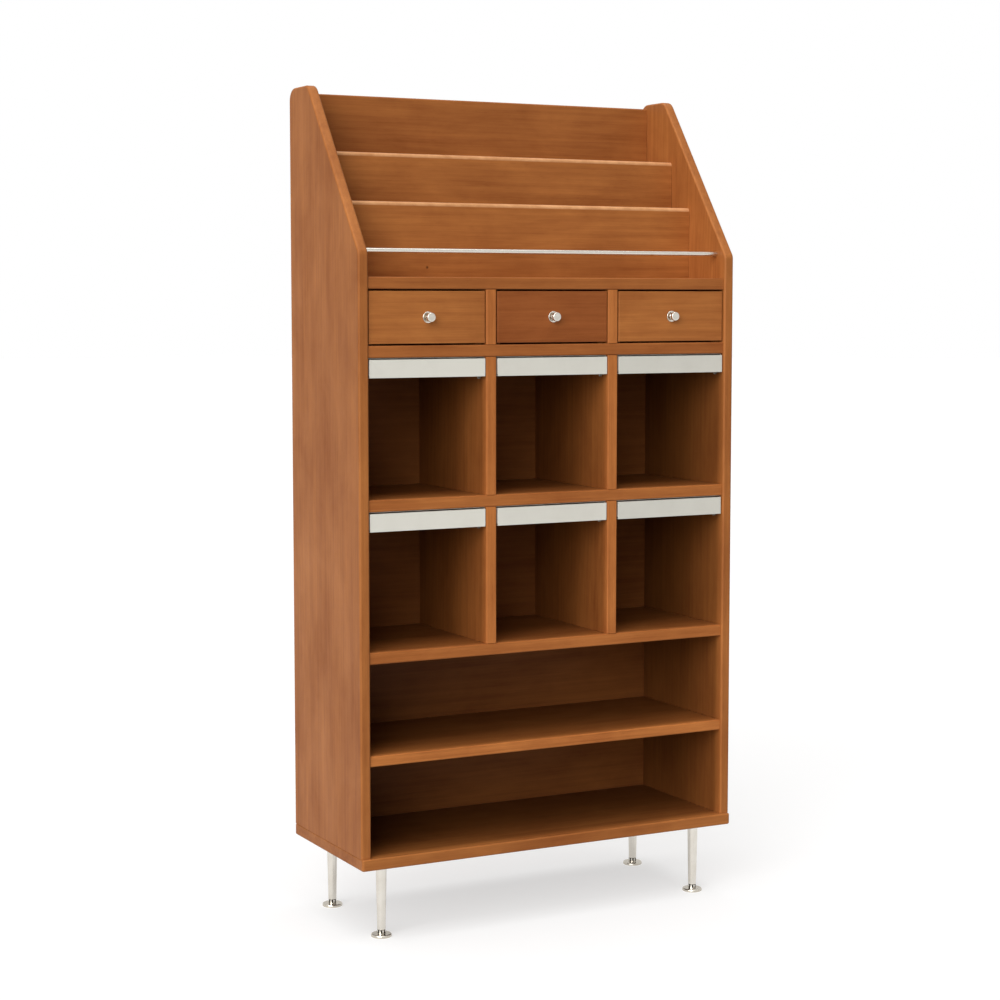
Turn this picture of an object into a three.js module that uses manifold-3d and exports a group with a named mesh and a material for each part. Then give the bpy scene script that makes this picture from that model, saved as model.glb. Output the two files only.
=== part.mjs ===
// A tall display and pigeonhole cabinet in solid wood: magazine tiers over three drawers,
// six pigeonholes with metal-fronted pull-out trays, two open bays and four metal legs.
// Millimetres. +Z is up, the front faces -Y, and left and right are as seen from the front.
// The origin is on the floor at the centre of the footprint.

import * as THREE from "three";
import { mergeVertices } from "three/addons/utils/BufferGeometryUtils.js";
import Module from "manifold-3d";

const wasm = await Module();
wasm.setup();

// ---------------------------------------------------------------- driving dimensions

// Overall
const cabinetWidth = 800;
const cabinetDepth = 326;
const legHeight = 139;

// Boards
const sideThickness = 20;
const boardThickness = 22;
const lowerShelfThickness = 20;
const dividerThickness = 21;
const backThickness = 12;
const tierThickness = 13;
const tierFloorThickness = 12;

// Clear heights between the boards, from the bottom up
const bayHeight = 169;
const cubbyHeight = 257;
const drawerRowHeight = 102;

// Heights above the display deck
const railHeight = 48;
const bendHeight = 44;
const frontTierHeight = 141;
const rearTierHeight = 235;
const backHeight = 349;
const sideHeight = 358;

// Positions from the front of the bottom board
const sideSetback = 5;
const shelfSetback = 9;
const railSetback = 36;
const frontTierSetback = 136;
const rearTierSetback = 203;

// Edges
const backInset = 14;
const sideTopWidth = 90;
const sideTopRadius = 24;
const bendRadius = 18;
const sideEdgeRadius = 4;
const baseEdgeRadius = 3;
const baseCornerRadius = 4.5;
const boardEdgeRadius = 2.5;
const tierEdgeRadius = 5;
const backEdgeRadius = 4;

// Joinery
const gap = 0.3;
const housingDepth = 5;
const dividerHousingDepth = 4;
const housingStop = 14;
const dowelRadius = 4;
const dowelLength = 12;
const dowelEndDistance = 50;

// Display pockets
const pocketDepth = 50;

// Retaining rail
const railRadius = 4.2;
const railSocketDepth = 8;

// Drawers
const drawerSideReveal = 2.5;
const drawerFaceReveal = 3.2;
const drawerFaceSetback = 1;
const drawerFaceThickness = 18;
const drawerFaceEdge = 1.2;
const drawerWallThickness = 12;
const drawerWallHeight = 84;
const drawerRabbet = 6;
const drawerGroove = 5;
const drawerBackHousing = 4;
const drawerBottomThickness = 5;
const drawerBottomRise = 10;
const drawerRearStop = 0.6;

// Knobs
const knobBaseRadius = 10.5;
const knobBaseThickness = 2.4;
const knobNeckRadius = 4;
const knobCapRadius = 8.4;
const knobCapThickness = 6.5;
const knobProjection = 17;
const knobBaseEdge = 0.4;
const knobFillet = 0.6;
const knobCapRearEdge = 0.8;
const knobCapFrontEdge = 1.2;
const knobCapCrown = 0.35;
const knobScrewRadius = 2;
const knobScrewHeadRadius = 4;
const knobScrewHeadThickness = 2.4;
const screwClearance = 0.4;

// Trays and the carriers they slide in
const trayFaceHeight = 33;
const trayTopReveal = 3.2;
const traySideReveal = 2.6;
const trayFaceThickness = 1.5;
const trayFaceReturn = 7;
const traySheet = 1.2;
const trayFoldInset = 0.1;
const trayDepth = 250;
const trayWallRelief = 2.5;
const trayClearance = 0.7;
const carrierSheet = 1.2;
const carrierSideGap = 0.5;
const carrierDrop = 33.5;
const carrierLip = 8;
const carrierRearGap = 6;
const carrierLugLength = 10;
const carrierLugDrop = 7;
const carrierLugWidth = 6;

// Legs and levelling feet
const legInsetX = 58;
const legInsetY = 47;
const legTopRadius = 10.4;
const legBottomRadius = 7.9;
const legEndRound = 1;
const legStudRadius = 4;
const legStudLength = 14;
const legBoreDepth = 34;
const footRadius = 19.5;
const footThickness = 6;
const footLowerEdge = 1;
const footUpperEdge = 2;
const footShoulder = 0.7;
const footNeckRadius = 7.8;
const footNeckHeight = 7;
const footSlotCount = 8;
const footSlotWidth = 3;
const footSlotDepth = 2.2;
const footSlotFloor = 0.5;
const footStemLength = 26;
const threadClearance = 0.4;

// How far a cutter or a joined piece runs past the face it starts from
const overrun = 1;

// Sides of round pieces and steps of rounded corners and edges
const cylinderSides = 24;
const turnedSides = 40;
const railSides = 32;
const cornerSteps = 4;
const panelCornerSteps = 6;
const edgeSteps = 3;
const weldDistance = 1e-4;

// ---------------------------------------------------------------- dependent sizes

const halfWidth = cabinetWidth / 2;
const innerHalf = halfWidth - sideThickness;
const bayWidth = (2 * innerHalf - 2 * dividerThickness) / 3;
const dividerCentre = (bayWidth + dividerThickness) / 2;
const bayCentre = bayWidth + dividerThickness;

const backRear = cabinetDepth - backInset;
const backFront = backRear - backThickness;
const shelfRear = backFront - gap;

const baseBottom = legHeight;
const baseTop = baseBottom + boardThickness;
const lowerShelfBottom = baseTop + bayHeight;
const lowerShelfTop = lowerShelfBottom + lowerShelfThickness;
const cubbyFloorBottom = lowerShelfTop + bayHeight;
const cubbyFloorTop = cubbyFloorBottom + boardThickness;
const midShelfBottom = cubbyFloorTop + cubbyHeight;
const midShelfTop = midShelfBottom + boardThickness;
const drawerDeckBottom = midShelfTop + cubbyHeight;
const drawerDeckTop = drawerDeckBottom + boardThickness;
const displayDeckBottom = drawerDeckTop + drawerRowHeight;
const displayDeckTop = displayDeckBottom + boardThickness;

const sideTop = displayDeckTop + sideHeight;
const backTop = displayDeckTop + backHeight;
const frontTierTop = displayDeckTop + frontTierHeight;
const rearTierTop = displayDeckTop + rearTierHeight;
const frontTierFloorTop = frontTierTop - pocketDepth;
const frontTierFloorBottom = frontTierFloorTop - tierFloorThickness;
const rearTierFloorTop = rearTierTop - pocketDepth;
const rearTierFloorBottom = rearTierFloorTop - tierFloorThickness;

const drawerFaceFront = shelfSetback + drawerFaceSetback;
const footprintFront = Math.min(0, drawerFaceFront - gap - knobProjection);
const footprintCentre = (footprintFront + cabinetDepth) / 2;

// ---------------------------------------------------------------- geometry helpers

// The outline of a polygon with rounded corners. Each corner is [u, v, radius].
function roundedOutline(corners, steps = cornerSteps) {
  const outline = [];
  corners.forEach(([u, v, radius = 0], index) => {
    const corner = new THREE.Vector2(u, v);
    if (radius === 0) {
      outline.push(corner);
      return;
    }
    const before = corners.at(index - 1);
    const after = corners[(index + 1) % corners.length];
    const toBefore = new THREE.Vector2(before[0], before[1]).sub(corner).normalize();
    const toAfter = new THREE.Vector2(after[0], after[1]).sub(corner).normalize();
    const halfAngle = Math.acos(toBefore.dot(toAfter)) / 2;
    const toCentre = toBefore.clone().add(toAfter).normalize();
    const centre = toCentre.multiplyScalar(radius / Math.sin(halfAngle)).add(corner);
    const reach = radius / Math.tan(halfAngle);
    const start = toBefore.multiplyScalar(reach).add(corner).sub(centre);
    const end = toAfter.multiplyScalar(reach).add(corner).sub(centre);
    const sweep = Math.atan2(start.cross(end), start.dot(end));
    for (let step = 0; step <= steps; step += 1) {
      const point = start.clone().rotateAround(new THREE.Vector2(), (sweep * step) / steps);
      outline.push(point.add(centre));
    }
  });
  return new THREE.Shape(outline);
}

function rectangle(u0, u1, v0, v1, radius = 0) {
  return roundedOutline([
    [u0, v0, radius],
    [u1, v0, radius],
    [u1, v1, radius],
    [u0, v1, radius],
  ]);
}

// An extrusion of a shape, with both ends' edges rounded by edge.
function extrusion(shape, length, edge = 0) {
  const geometry = new THREE.ExtrudeGeometry(shape, {
    depth: length - 2 * edge,
    bevelEnabled: edge > 0,
    bevelThickness: edge,
    bevelSize: edge,
    bevelOffset: -edge,
    bevelSegments: edgeSteps,
    curveSegments: 1,
  });
  return geometry.translate(0, 0, edge);
}

// A shape drawn in Y and Z, run from x0 to x1.
function alongX(shape, x0, x1, edge = 0) {
  const turn = new THREE.Matrix4().set(0, 0, 1, 0, 1, 0, 0, 0, 0, 1, 0, 0, 0, 0, 0, 1);
  return extrusion(shape, x1 - x0, edge).applyMatrix4(turn).translate(x0, 0, 0);
}

// A shape drawn in X and Z, run from y0 to y1.
function alongY(shape, y0, y1, edge = 0) {
  return extrusion(shape, y1 - y0, edge).rotateX(Math.PI / 2).translate(0, y1, 0);
}

// A shape drawn in X and Y, run from z0 to z1.
function alongZ(shape, z0, z1, edge = 0) {
  return extrusion(shape, z1 - z0, edge).translate(0, 0, z0);
}

function block(x0, x1, y0, y1, z0, z1) {
  const geometry = new THREE.BoxGeometry(x1 - x0, y1 - y0, z1 - z0);
  return geometry.translate((x0 + x1) / 2, (y0 + y1) / 2, (z0 + z1) / 2);
}

// A solid turned about the Z axis from a profile of [radius, height] points.
function turned(profile, segments = turnedSides) {
  const points = profile.map(([radius, height]) => new THREE.Vector2(radius, height));
  return new THREE.LatheGeometry(points, segments);
}

// A lathe turns about Y, so it is stood up along Z.
function turnedZ(profile, segments) {
  return turned(profile, segments).rotateX(Math.PI / 2);
}

function cylinderZ(radius, z0, z1, segments = cylinderSides) {
  const geometry = new THREE.CylinderGeometry(radius, radius, z1 - z0, segments);
  return geometry.rotateX(Math.PI / 2).translate(0, 0, (z0 + z1) / 2);
}

function cylinderX(radius, x0, x1, segments = cylinderSides) {
  const geometry = new THREE.CylinderGeometry(radius, radius, x1 - x0, segments);
  return geometry.rotateZ(Math.PI / 2).translate((x0 + x1) / 2, 0, 0);
}

function cylinderY(radius, y0, y1, segments = cylinderSides) {
  const geometry = new THREE.CylinderGeometry(radius, radius, y1 - y0, segments);
  return geometry.translate(0, (y0 + y1) / 2, 0);
}

function toSolid(geometry) {
  const bare = geometry.clone();
  bare.deleteAttribute("normal");
  bare.deleteAttribute("uv");
  const merged = mergeVertices(bare, weldDistance);
  const mesh = new wasm.Mesh({
    numProp: 3,
    vertProperties: merged.attributes.position.array,
    triVerts: new Uint32Array(merged.index.array),
  });
  return new wasm.Manifold(mesh);
}

function toGeometry(solid) {
  const { vertProperties, triVerts } = solid.getMesh();
  const shared = new THREE.BufferGeometry();
  shared.setAttribute("position", new THREE.BufferAttribute(vertProperties, 3));
  shared.setIndex(new THREE.BufferAttribute(triVerts, 1));
  const faceted = shared.toNonIndexed();
  faceted.computeVertexNormals();
  return faceted;
}

// Joins the geometries in `joined` and takes the ones in `removed` away.
function carved(joined, removed = []) {
  let solid = toSolid(joined[0]);
  for (const geometry of joined.slice(1)) {
    solid = solid.add(toSolid(geometry));
  }
  for (const geometry of removed) {
    solid = solid.subtract(toSolid(geometry));
  }
  return toGeometry(solid);
}

// ---------------------------------------------------------------- materials

function wood(color = 0xa9602f) {
  return new THREE.MeshStandardMaterial({ color, roughness: 0.48, metalness: 0 });
}

function nickel() {
  return new THREE.MeshStandardMaterial({ color: 0xcfc9bd, roughness: 0.3, metalness: 1 });
}

function satinSheet() {
  return new THREE.MeshStandardMaterial({ color: 0xd9d7cd, roughness: 0.42, metalness: 0.9 });
}

const cabinet = new THREE.Group();
cabinet.position.y = -footprintCentre;

function place(parent, name, geometry, material, x = 0, y = 0, z = 0) {
  const mesh = new THREE.Mesh(geometry, material);
  mesh.name = name;
  mesh.position.set(x, y, z);
  parent.add(mesh);
  return mesh;
}

// ---------------------------------------------------------------- carcase

// Every board that is let into the two side panels: its span in depth and height.
// A stopped housing starts behind the visible front edge, or below the visible top edge.
const shelves = [
  { name: "lower_shelf", bottom: lowerShelfBottom, top: lowerShelfTop },
  { name: "cubby_floor", bottom: cubbyFloorBottom, top: cubbyFloorTop },
  { name: "cubby_mid_shelf", bottom: midShelfBottom, top: midShelfTop },
  { name: "drawer_deck", bottom: drawerDeckBottom, top: drawerDeckTop },
  { name: "display_deck", bottom: displayDeckBottom, top: displayDeckTop },
];

const uprights = [
  {
    name: "tier_board_front",
    front: frontTierSetback,
    rear: frontTierSetback + tierThickness,
    bottom: displayDeckTop + gap,
    top: frontTierTop,
    edge: tierEdgeRadius,
  },
  {
    name: "tier_board_rear",
    front: rearTierSetback,
    rear: rearTierSetback + tierThickness,
    bottom: frontTierFloorBottom,
    top: rearTierTop,
    edge: tierEdgeRadius,
  },
  {
    name: "back_panel",
    front: backFront,
    rear: backRear,
    bottom: baseTop + gap,
    top: backTop,
    edge: backEdgeRadius,
  },
];

const tierFloors = [
  {
    name: "tier_floor_front",
    front: frontTierSetback + tierThickness + gap,
    rear: rearTierSetback - gap,
    bottom: frontTierFloorBottom,
    top: frontTierFloorTop,
  },
  {
    name: "tier_floor_rear",
    front: rearTierSetback + tierThickness + gap,
    rear: shelfRear,
    bottom: rearTierFloorBottom,
    top: rearTierFloorTop,
  },
];

// The tongue at each end of a board, and the housing cut for it in the side panel.
const tongueSpans = [
  ...shelves.map((shelf) => ({
    front: shelfSetback + housingStop,
    rear: shelfRear,
    bottom: shelf.bottom,
    top: shelf.top,
  })),
  ...uprights.map((upright) => ({ ...upright, top: upright.top - housingStop })),
  ...tierFloors,
];

function housingCut(span, side) {
  const inner = side * (innerHalf - overrun);
  const outer = side * (innerHalf + housingDepth);
  return block(
    Math.min(inner, outer),
    Math.max(inner, outer),
    span.front - gap,
    span.rear + gap,
    span.bottom - gap,
    span.top + gap,
  );
}

function tongues(front, rear, bottom, top) {
  const reach = innerHalf + housingDepth - gap;
  return block(-reach, reach, front, rear, bottom, top);
}

const dowelPositions = [
  sideSetback + dowelEndDistance,
  (sideSetback + cabinetDepth) / 2,
  cabinetDepth - dowelEndDistance,
];

function sidePanel(side) {
  const bottom = baseTop + gap;
  const blankBottom = bottom - 2 * sideEdgeRadius;
  const bend = displayDeckTop + bendHeight;
  const outline = roundedOutline(
    [
      [sideSetback, blankBottom],
      [cabinetDepth, blankBottom],
      [cabinetDepth, sideTop, sideTopRadius],
      [cabinetDepth - sideTopWidth, sideTop, sideTopRadius],
      [sideSetback, bend, bendRadius],
    ],
    panelCornerSteps,
  );
  const inner = side * innerHalf;
  const outer = side * halfWidth;
  const panel = alongX(outline, Math.min(inner, outer), Math.max(inner, outer), sideEdgeRadius);
  const belowPanel = block(
    Math.min(inner, outer) - overrun,
    Math.max(inner, outer) + overrun,
    0,
    cabinetDepth + overrun,
    blankBottom - sideEdgeRadius,
    bottom,
  );
  const socket = cylinderX(railRadius + gap, 0, railSocketDepth + overrun);
  const socketStart = side < 0 ? inner - railSocketDepth : inner - overrun;
  socket.translate(socketStart, railSetback, displayDeckTop + railHeight);
  const cuts = tongueSpans.map((span) => housingCut(span, side));
  const trimmed = toSolid(panel).subtract(toSolid(belowPanel));
  const dowels = dowelPositions.map((y) =>
    cylinderZ(dowelRadius, bottom - dowelLength, bottom + overrun).translate((inner + outer) / 2, y, 0),
  );
  return carved([toGeometry(trimmed), ...dowels], [socket, ...cuts]);
}

place(cabinet, "side_panel_left", sidePanel(-1), wood());
place(cabinet, "side_panel_right", sidePanel(1), wood());

const legCentres = [
  { name: "front_left", x: -halfWidth + legInsetX, y: legInsetY },
  { name: "front_right", x: halfWidth - legInsetX, y: legInsetY },
  { name: "rear_left", x: -halfWidth + legInsetX, y: cabinetDepth - legInsetY },
  { name: "rear_right", x: halfWidth - legInsetX, y: cabinetDepth - legInsetY },
];

function bottomBoard() {
  const plan = rectangle(-halfWidth, halfWidth, 0, cabinetDepth, baseCornerRadius);
  const board = alongZ(plan, baseBottom, baseTop, baseEdgeRadius);
  const dowelHoles = [-1, 1].flatMap((side) =>
    dowelPositions.map((y) =>
      cylinderZ(dowelRadius + gap, baseTop - dowelLength - gap, baseTop + overrun).translate(
        side * (innerHalf + sideThickness / 2),
        y,
        0,
      ),
    ),
  );
  const studHoles = legCentres.map(({ x, y }) =>
    cylinderZ(
      legStudRadius + threadClearance,
      baseBottom - overrun,
      baseBottom + legStudLength + threadClearance,
    ).translate(x, y, 0),
  );
  return carved([board], [...dowelHoles, ...studHoles]);
}

place(cabinet, "bottom_board", bottomBoard(), wood());

// A shelf between the side panels. dividersAbove and dividersBelow say whether the
// dividers' tongues are let into its top and its underside.
function shelfBoard(shelf, dividersBelow, dividersAbove) {
  const profile = roundedOutline([
    [shelfSetback, shelf.bottom, boardEdgeRadius],
    [shelfRear, shelf.bottom],
    [shelfRear, shelf.top],
    [shelfSetback, shelf.top, boardEdgeRadius],
  ]);
  const body = alongX(profile, -innerHalf + gap, innerHalf - gap);
  const ends = tongues(shelfSetback + housingStop, shelfRear, shelf.bottom, shelf.top);
  const cuts = [];
  for (const side of [-1, 1]) {
    const x = side * dividerCentre;
    const half = dividerThickness / 2 + gap;
    const front = shelfSetback + housingStop - gap;
    if (dividersBelow) {
      const ceiling = shelf.bottom + dividerHousingDepth;
      const below = shelf.bottom - overrun;
      cuts.push(block(x - half, x + half, front, shelfRear + overrun, below, ceiling));
    }
    if (dividersAbove) {
      const floor = shelf.top - dividerHousingDepth;
      const above = shelf.top + overrun;
      cuts.push(block(x - half, x + half, front, shelfRear + overrun, floor, above));
    }
  }
  return carved([body, ends], cuts);
}

const [lowerShelf, cubbyFloor, cubbyMidShelf, drawerDeck, displayDeck] = shelves;
place(cabinet, lowerShelf.name, shelfBoard(lowerShelf, false, false), wood());
place(cabinet, cubbyFloor.name, shelfBoard(cubbyFloor, false, true), wood());
place(cabinet, cubbyMidShelf.name, shelfBoard(cubbyMidShelf, true, true), wood());
place(cabinet, drawerDeck.name, shelfBoard(drawerDeck, true, true), wood());
place(cabinet, displayDeck.name, shelfBoard(displayDeck, true, false), wood());

// An upright board across the cabinet, with its top edges rounded.
function uprightBoard({ front, rear, bottom, top, edge }) {
  const profile = roundedOutline([
    [front, bottom],
    [rear, bottom],
    [rear, top, edge],
    [front, top, edge],
  ]);
  const body = alongX(profile, -innerHalf + gap, innerHalf - gap);
  return carved([body, tongues(front, rear, bottom, top - housingStop)]);
}

for (const upright of uprights) {
  place(cabinet, upright.name, uprightBoard(upright), wood());
}

for (const { name, front, rear, bottom, top } of tierFloors) {
  place(cabinet, name, tongues(front, rear, bottom, top), wood());
}

// Dividers stand between two shelves, with a tongue let into each.
function divider(floor, ceiling) {
  const half = dividerThickness / 2;
  const plan = roundedOutline([
    [-half, shelfSetback, boardEdgeRadius],
    [half, shelfSetback, boardEdgeRadius],
    [half, shelfRear],
    [-half, shelfRear],
  ]);
  const body = alongZ(plan, floor + gap, ceiling - gap);
  const tongueReach = dividerHousingDepth - gap;
  const tongue = block(
    -half,
    half,
    shelfSetback + housingStop,
    shelfRear,
    floor - tongueReach,
    ceiling + tongueReach,
  );
  return carved([body, tongue]);
}

const dividerRows = [
  { name: "lower_cubby_divider", floor: cubbyFloorTop, ceiling: midShelfBottom },
  { name: "upper_cubby_divider", floor: midShelfTop, ceiling: drawerDeckBottom },
  { name: "drawer_divider", floor: drawerDeckTop, ceiling: displayDeckBottom },
];

for (const { name, floor, ceiling } of dividerRows) {
  place(cabinet, `${name}_left`, divider(floor, ceiling), wood(), -dividerCentre);
  place(cabinet, `${name}_right`, divider(floor, ceiling), wood(), dividerCentre);
}

// ---------------------------------------------------------------- retaining rail

const railReach = innerHalf + railSocketDepth - 2 * gap;
const rail = cylinderX(railRadius, -railReach, railReach, railSides);
place(cabinet, "retaining_rail", rail, nickel(), 0, railSetback, displayDeckTop + railHeight);

// ---------------------------------------------------------------- drawers

const faceHalf = bayWidth / 2 - drawerSideReveal;
const faceBottom = drawerFaceReveal;
const faceTop = drawerRowHeight - drawerFaceReveal;
const faceCentre = (faceBottom + faceTop) / 2;
const faceRear = drawerFaceFront + drawerFaceThickness;
const wallInner = faceHalf - drawerWallThickness;
const wallFront = faceRear - drawerRabbet;
const wallRear = backFront - drawerRearStop;
const wallBottom = gap;
const wallTop = wallBottom + drawerWallHeight;
const sheetBottom = wallBottom + drawerBottomRise;
const sheetTop = sheetBottom + drawerBottomThickness;
const drawerBackRear = wallRear - drawerWallThickness;
const drawerBackFront = drawerBackRear - drawerWallThickness;

function drawerFace() {
  const outline = rectangle(-faceHalf, faceHalf, faceBottom, faceTop);
  const board = alongY(outline, drawerFaceFront, faceRear, drawerFaceEdge);
  const rabbets = [-1, 1].map((side) => {
    const inner = side * (wallInner - gap);
    const outer = side * (faceHalf + overrun);
    return block(
      Math.min(inner, outer),
      Math.max(inner, outer),
      wallFront - gap,
      faceRear + overrun,
      faceBottom - overrun,
      wallTop + gap,
    );
  });
  const grooveFront = faceRear - drawerGroove;
  const groove = block(
    -wallInner,
    wallInner,
    grooveFront,
    faceRear + overrun,
    sheetBottom - gap,
    sheetTop + gap,
  );
  const screwHole = cylinderY(
    knobScrewRadius + screwClearance,
    drawerFaceFront - overrun,
    faceRear + overrun,
  );
  screwHole.translate(0, 0, faceCentre);
  return carved([board], [...rabbets, groove, screwHole]);
}

function drawerWall(side) {
  const inner = side * wallInner;
  const outer = side * faceHalf;
  const left = Math.min(inner, outer);
  const right = Math.max(inner, outer);
  const board = block(left, right, wallFront, wallRear, wallBottom, wallTop);
  const grooveWall = inner + side * drawerGroove;
  const groove = block(
    Math.min(inner - side * overrun, grooveWall),
    Math.max(inner - side * overrun, grooveWall),
    faceRear,
    wallRear + overrun,
    sheetBottom - gap,
    sheetTop + gap,
  );
  const housingWall = inner + side * drawerBackHousing;
  const housing = block(
    Math.min(inner - side * overrun, housingWall),
    Math.max(inner - side * overrun, housingWall),
    drawerBackFront - gap,
    drawerBackRear + gap,
    sheetTop,
    wallTop + overrun,
  );
  return carved([board], [groove, housing]);
}

function drawerBack() {
  const reach = wallInner + drawerBackHousing - gap;
  return block(-reach, reach, drawerBackFront, drawerBackRear, sheetTop + gap, wallTop);
}

function drawerBottom() {
  const reach = wallInner + drawerGroove - gap;
  const tongue = wallInner - gap;
  const sheet = block(-reach, reach, faceRear + gap, drawerBackRear, sheetBottom, sheetTop);
  const front = faceRear - drawerGroove + gap;
  const lip = block(-tongue, tongue, front, faceRear + overrun, sheetBottom, sheetTop);
  return carved([sheet, lip]);
}

// The knob points along -Y: a base disc, a neck, a cap and the screw that holds it.
function knob() {
  const capInner = knobProjection - knobCapThickness;
  const knobBody = turned([
    [0, 0],
    [knobBaseRadius - knobBaseEdge, 0],
    [knobBaseRadius, knobBaseEdge],
    [knobBaseRadius, knobBaseThickness - knobFillet],
    [knobBaseRadius - knobFillet, knobBaseThickness],
    [knobNeckRadius + knobFillet, knobBaseThickness],
    [knobNeckRadius, knobBaseThickness + knobFillet],
    [knobNeckRadius, capInner - knobFillet],
    [knobNeckRadius + knobFillet, capInner],
    [knobCapRadius - knobCapRearEdge, capInner],
    [knobCapRadius, capInner + knobCapRearEdge],
    [knobCapRadius, knobProjection - knobCapFrontEdge],
    [knobCapRadius - knobCapCrown, knobProjection - knobCapCrown],
    [knobCapRadius - knobCapFrontEdge, knobProjection],
    [0, knobProjection],
  ]);
  knobBody.rotateX(Math.PI).translate(0, drawerFaceFront - gap, 0);
  const screwHeadFront = faceRear + gap;
  const screwHeadRear = screwHeadFront + knobScrewHeadThickness;
  const shank = cylinderY(
    knobScrewRadius,
    drawerFaceFront - gap - overrun,
    screwHeadFront + overrun,
  );
  const head = cylinderY(knobScrewHeadRadius, screwHeadFront, screwHeadRear);
  return carved([knobBody, shank, head]);
}

const bays = [
  { name: "left", x: -bayCentre },
  { name: "centre", x: 0 },
  { name: "right", x: bayCentre },
];

for (const { name, x } of bays) {
  const drawer = new THREE.Group();
  drawer.position.set(x, 0, drawerDeckTop);
  cabinet.add(drawer);
  const faceColor = name === "centre" ? 0x94502a : 0xa9602f;
  place(drawer, `${name}_drawer_front`, drawerFace(), wood(faceColor));
  place(drawer, `${name}_drawer_side_left`, drawerWall(-1), wood());
  place(drawer, `${name}_drawer_side_right`, drawerWall(1), wood());
  place(drawer, `${name}_drawer_back`, drawerBack(), wood());
  place(drawer, `${name}_drawer_bottom`, drawerBottom(), wood());
  place(drawer, `${name}_drawer_knob`, knob(), nickel(), 0, 0, faceCentre);
}

// ---------------------------------------------------------------- trays and carriers

// Heights here are measured from the underside of the board above.
const trayFaceTop = -trayTopReveal;
const trayFaceBottom = trayFaceTop - trayFaceHeight;
const trayFaceHalf = bayWidth / 2 - traySideReveal;
const trayFaceFront = shelfSetback;
const trayReturnRear = trayFaceFront + trayFaceReturn;

const carrierHalf = bayWidth / 2 - carrierSideGap;
const carrierInner = carrierHalf - carrierSheet;
const carrierTop = -gap;
const carrierBottom = carrierTop - carrierDrop;
const carrierLipTop = carrierBottom + carrierSheet;
const carrierFront = trayReturnRear + gap;
const carrierRear = shelfRear - carrierRearGap;

const trayHalf = carrierInner - trayClearance;
const trayFloorBottom = carrierLipTop + trayClearance;
const trayFloorTop = trayFloorBottom + traySheet;
const trayWallTop = carrierTop - carrierSheet - trayWallRelief;
const trayRear = Math.min(trayFaceFront + trayDepth, carrierRear);

// One folded sheet: a plate under the board, two sides and the lips that carry the tray,
// with a lug bent down from the right lip near the front.
function trayCarrier() {
  const section = new THREE.Shape([
    new THREE.Vector2(-carrierHalf, carrierBottom),
    new THREE.Vector2(-carrierInner + carrierLip, carrierBottom),
    new THREE.Vector2(-carrierInner + carrierLip, carrierLipTop),
    new THREE.Vector2(-carrierInner, carrierLipTop),
    new THREE.Vector2(-carrierInner, carrierTop - carrierSheet),
    new THREE.Vector2(carrierInner, carrierTop - carrierSheet),
    new THREE.Vector2(carrierInner, carrierLipTop),
    new THREE.Vector2(carrierInner - carrierLip, carrierLipTop),
    new THREE.Vector2(carrierInner - carrierLip, carrierBottom),
    new THREE.Vector2(carrierHalf, carrierBottom),
    new THREE.Vector2(carrierHalf, carrierTop),
    new THREE.Vector2(-carrierHalf, carrierTop),
  ]);
  const channel = alongY(section, carrierFront, carrierRear);
  const lugLeft = carrierInner - carrierLip;
  const lug = alongX(
    rectangle(
      carrierFront + carrierLugLength,
      carrierFront + carrierLugLength + carrierSheet,
      carrierBottom - carrierLugDrop,
      carrierLipTop,
    ),
    lugLeft,
    lugLeft + carrierLugWidth,
  );
  return carved([channel, lug]);
}

// An open tray of folded sheet with a taller face whose top and bottom are turned back.
function tray() {
  const foldFront = trayFaceFront + trayFoldInset;
  const face = alongY(
    rectangle(-trayFaceHalf, trayFaceHalf, trayFaceBottom, trayFaceTop),
    trayFaceFront,
    trayFaceFront + trayFaceThickness,
  );
  const returns = [
    [trayFaceBottom, trayFaceBottom + traySheet],
    [trayFaceTop - traySheet, trayFaceTop],
  ].map(([low, high]) =>
    block(-trayFaceHalf, trayFaceHalf, foldFront, trayReturnRear, low, high),
  );
  const shell = block(-trayHalf, trayHalf, foldFront, trayRear, trayFloorBottom, trayWallTop);
  const hollow = block(
    -trayHalf + traySheet,
    trayHalf - traySheet,
    trayFaceFront + trayFaceThickness,
    trayRear - traySheet,
    trayFloorTop,
    trayWallTop + overrun,
  );
  const pan = toGeometry(toSolid(shell).subtract(toSolid(hollow)));
  return carved([pan, face, ...returns]);
}

const cubbyRows = [
  { name: "upper", ceiling: drawerDeckBottom },
  { name: "lower", ceiling: midShelfBottom },
];

for (const row of cubbyRows) {
  for (const { name, x } of bays) {
    const fitting = new THREE.Group();
    fitting.position.set(x, 0, row.ceiling);
    cabinet.add(fitting);
    place(fitting, `${row.name}_${name}_tray_carrier`, trayCarrier(), satinSheet());
    place(fitting, `${row.name}_${name}_tray`, tray(), satinSheet());
  }
}

// ---------------------------------------------------------------- legs and feet

// A tapered metal leg with a stud that screws into the bottom board and a bore for the foot.
function leg() {
  const top = legHeight - gap;
  const bottom = footThickness + footNeckHeight + gap;
  const body = turnedZ([
    [0, bottom],
    [legBottomRadius - legEndRound, bottom],
    [legBottomRadius, bottom + legEndRound],
    [legTopRadius, top - legEndRound],
    [legTopRadius - legEndRound / 2, top],
    [0, top],
  ]);
  const stud = cylinderZ(legStudRadius, top - overrun, legHeight + legStudLength);
  const bore = cylinderZ(
    legStudRadius + threadClearance,
    bottom - overrun,
    bottom + legBoreDepth,
  );
  return carved([body, stud], [bore]);
}

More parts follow.
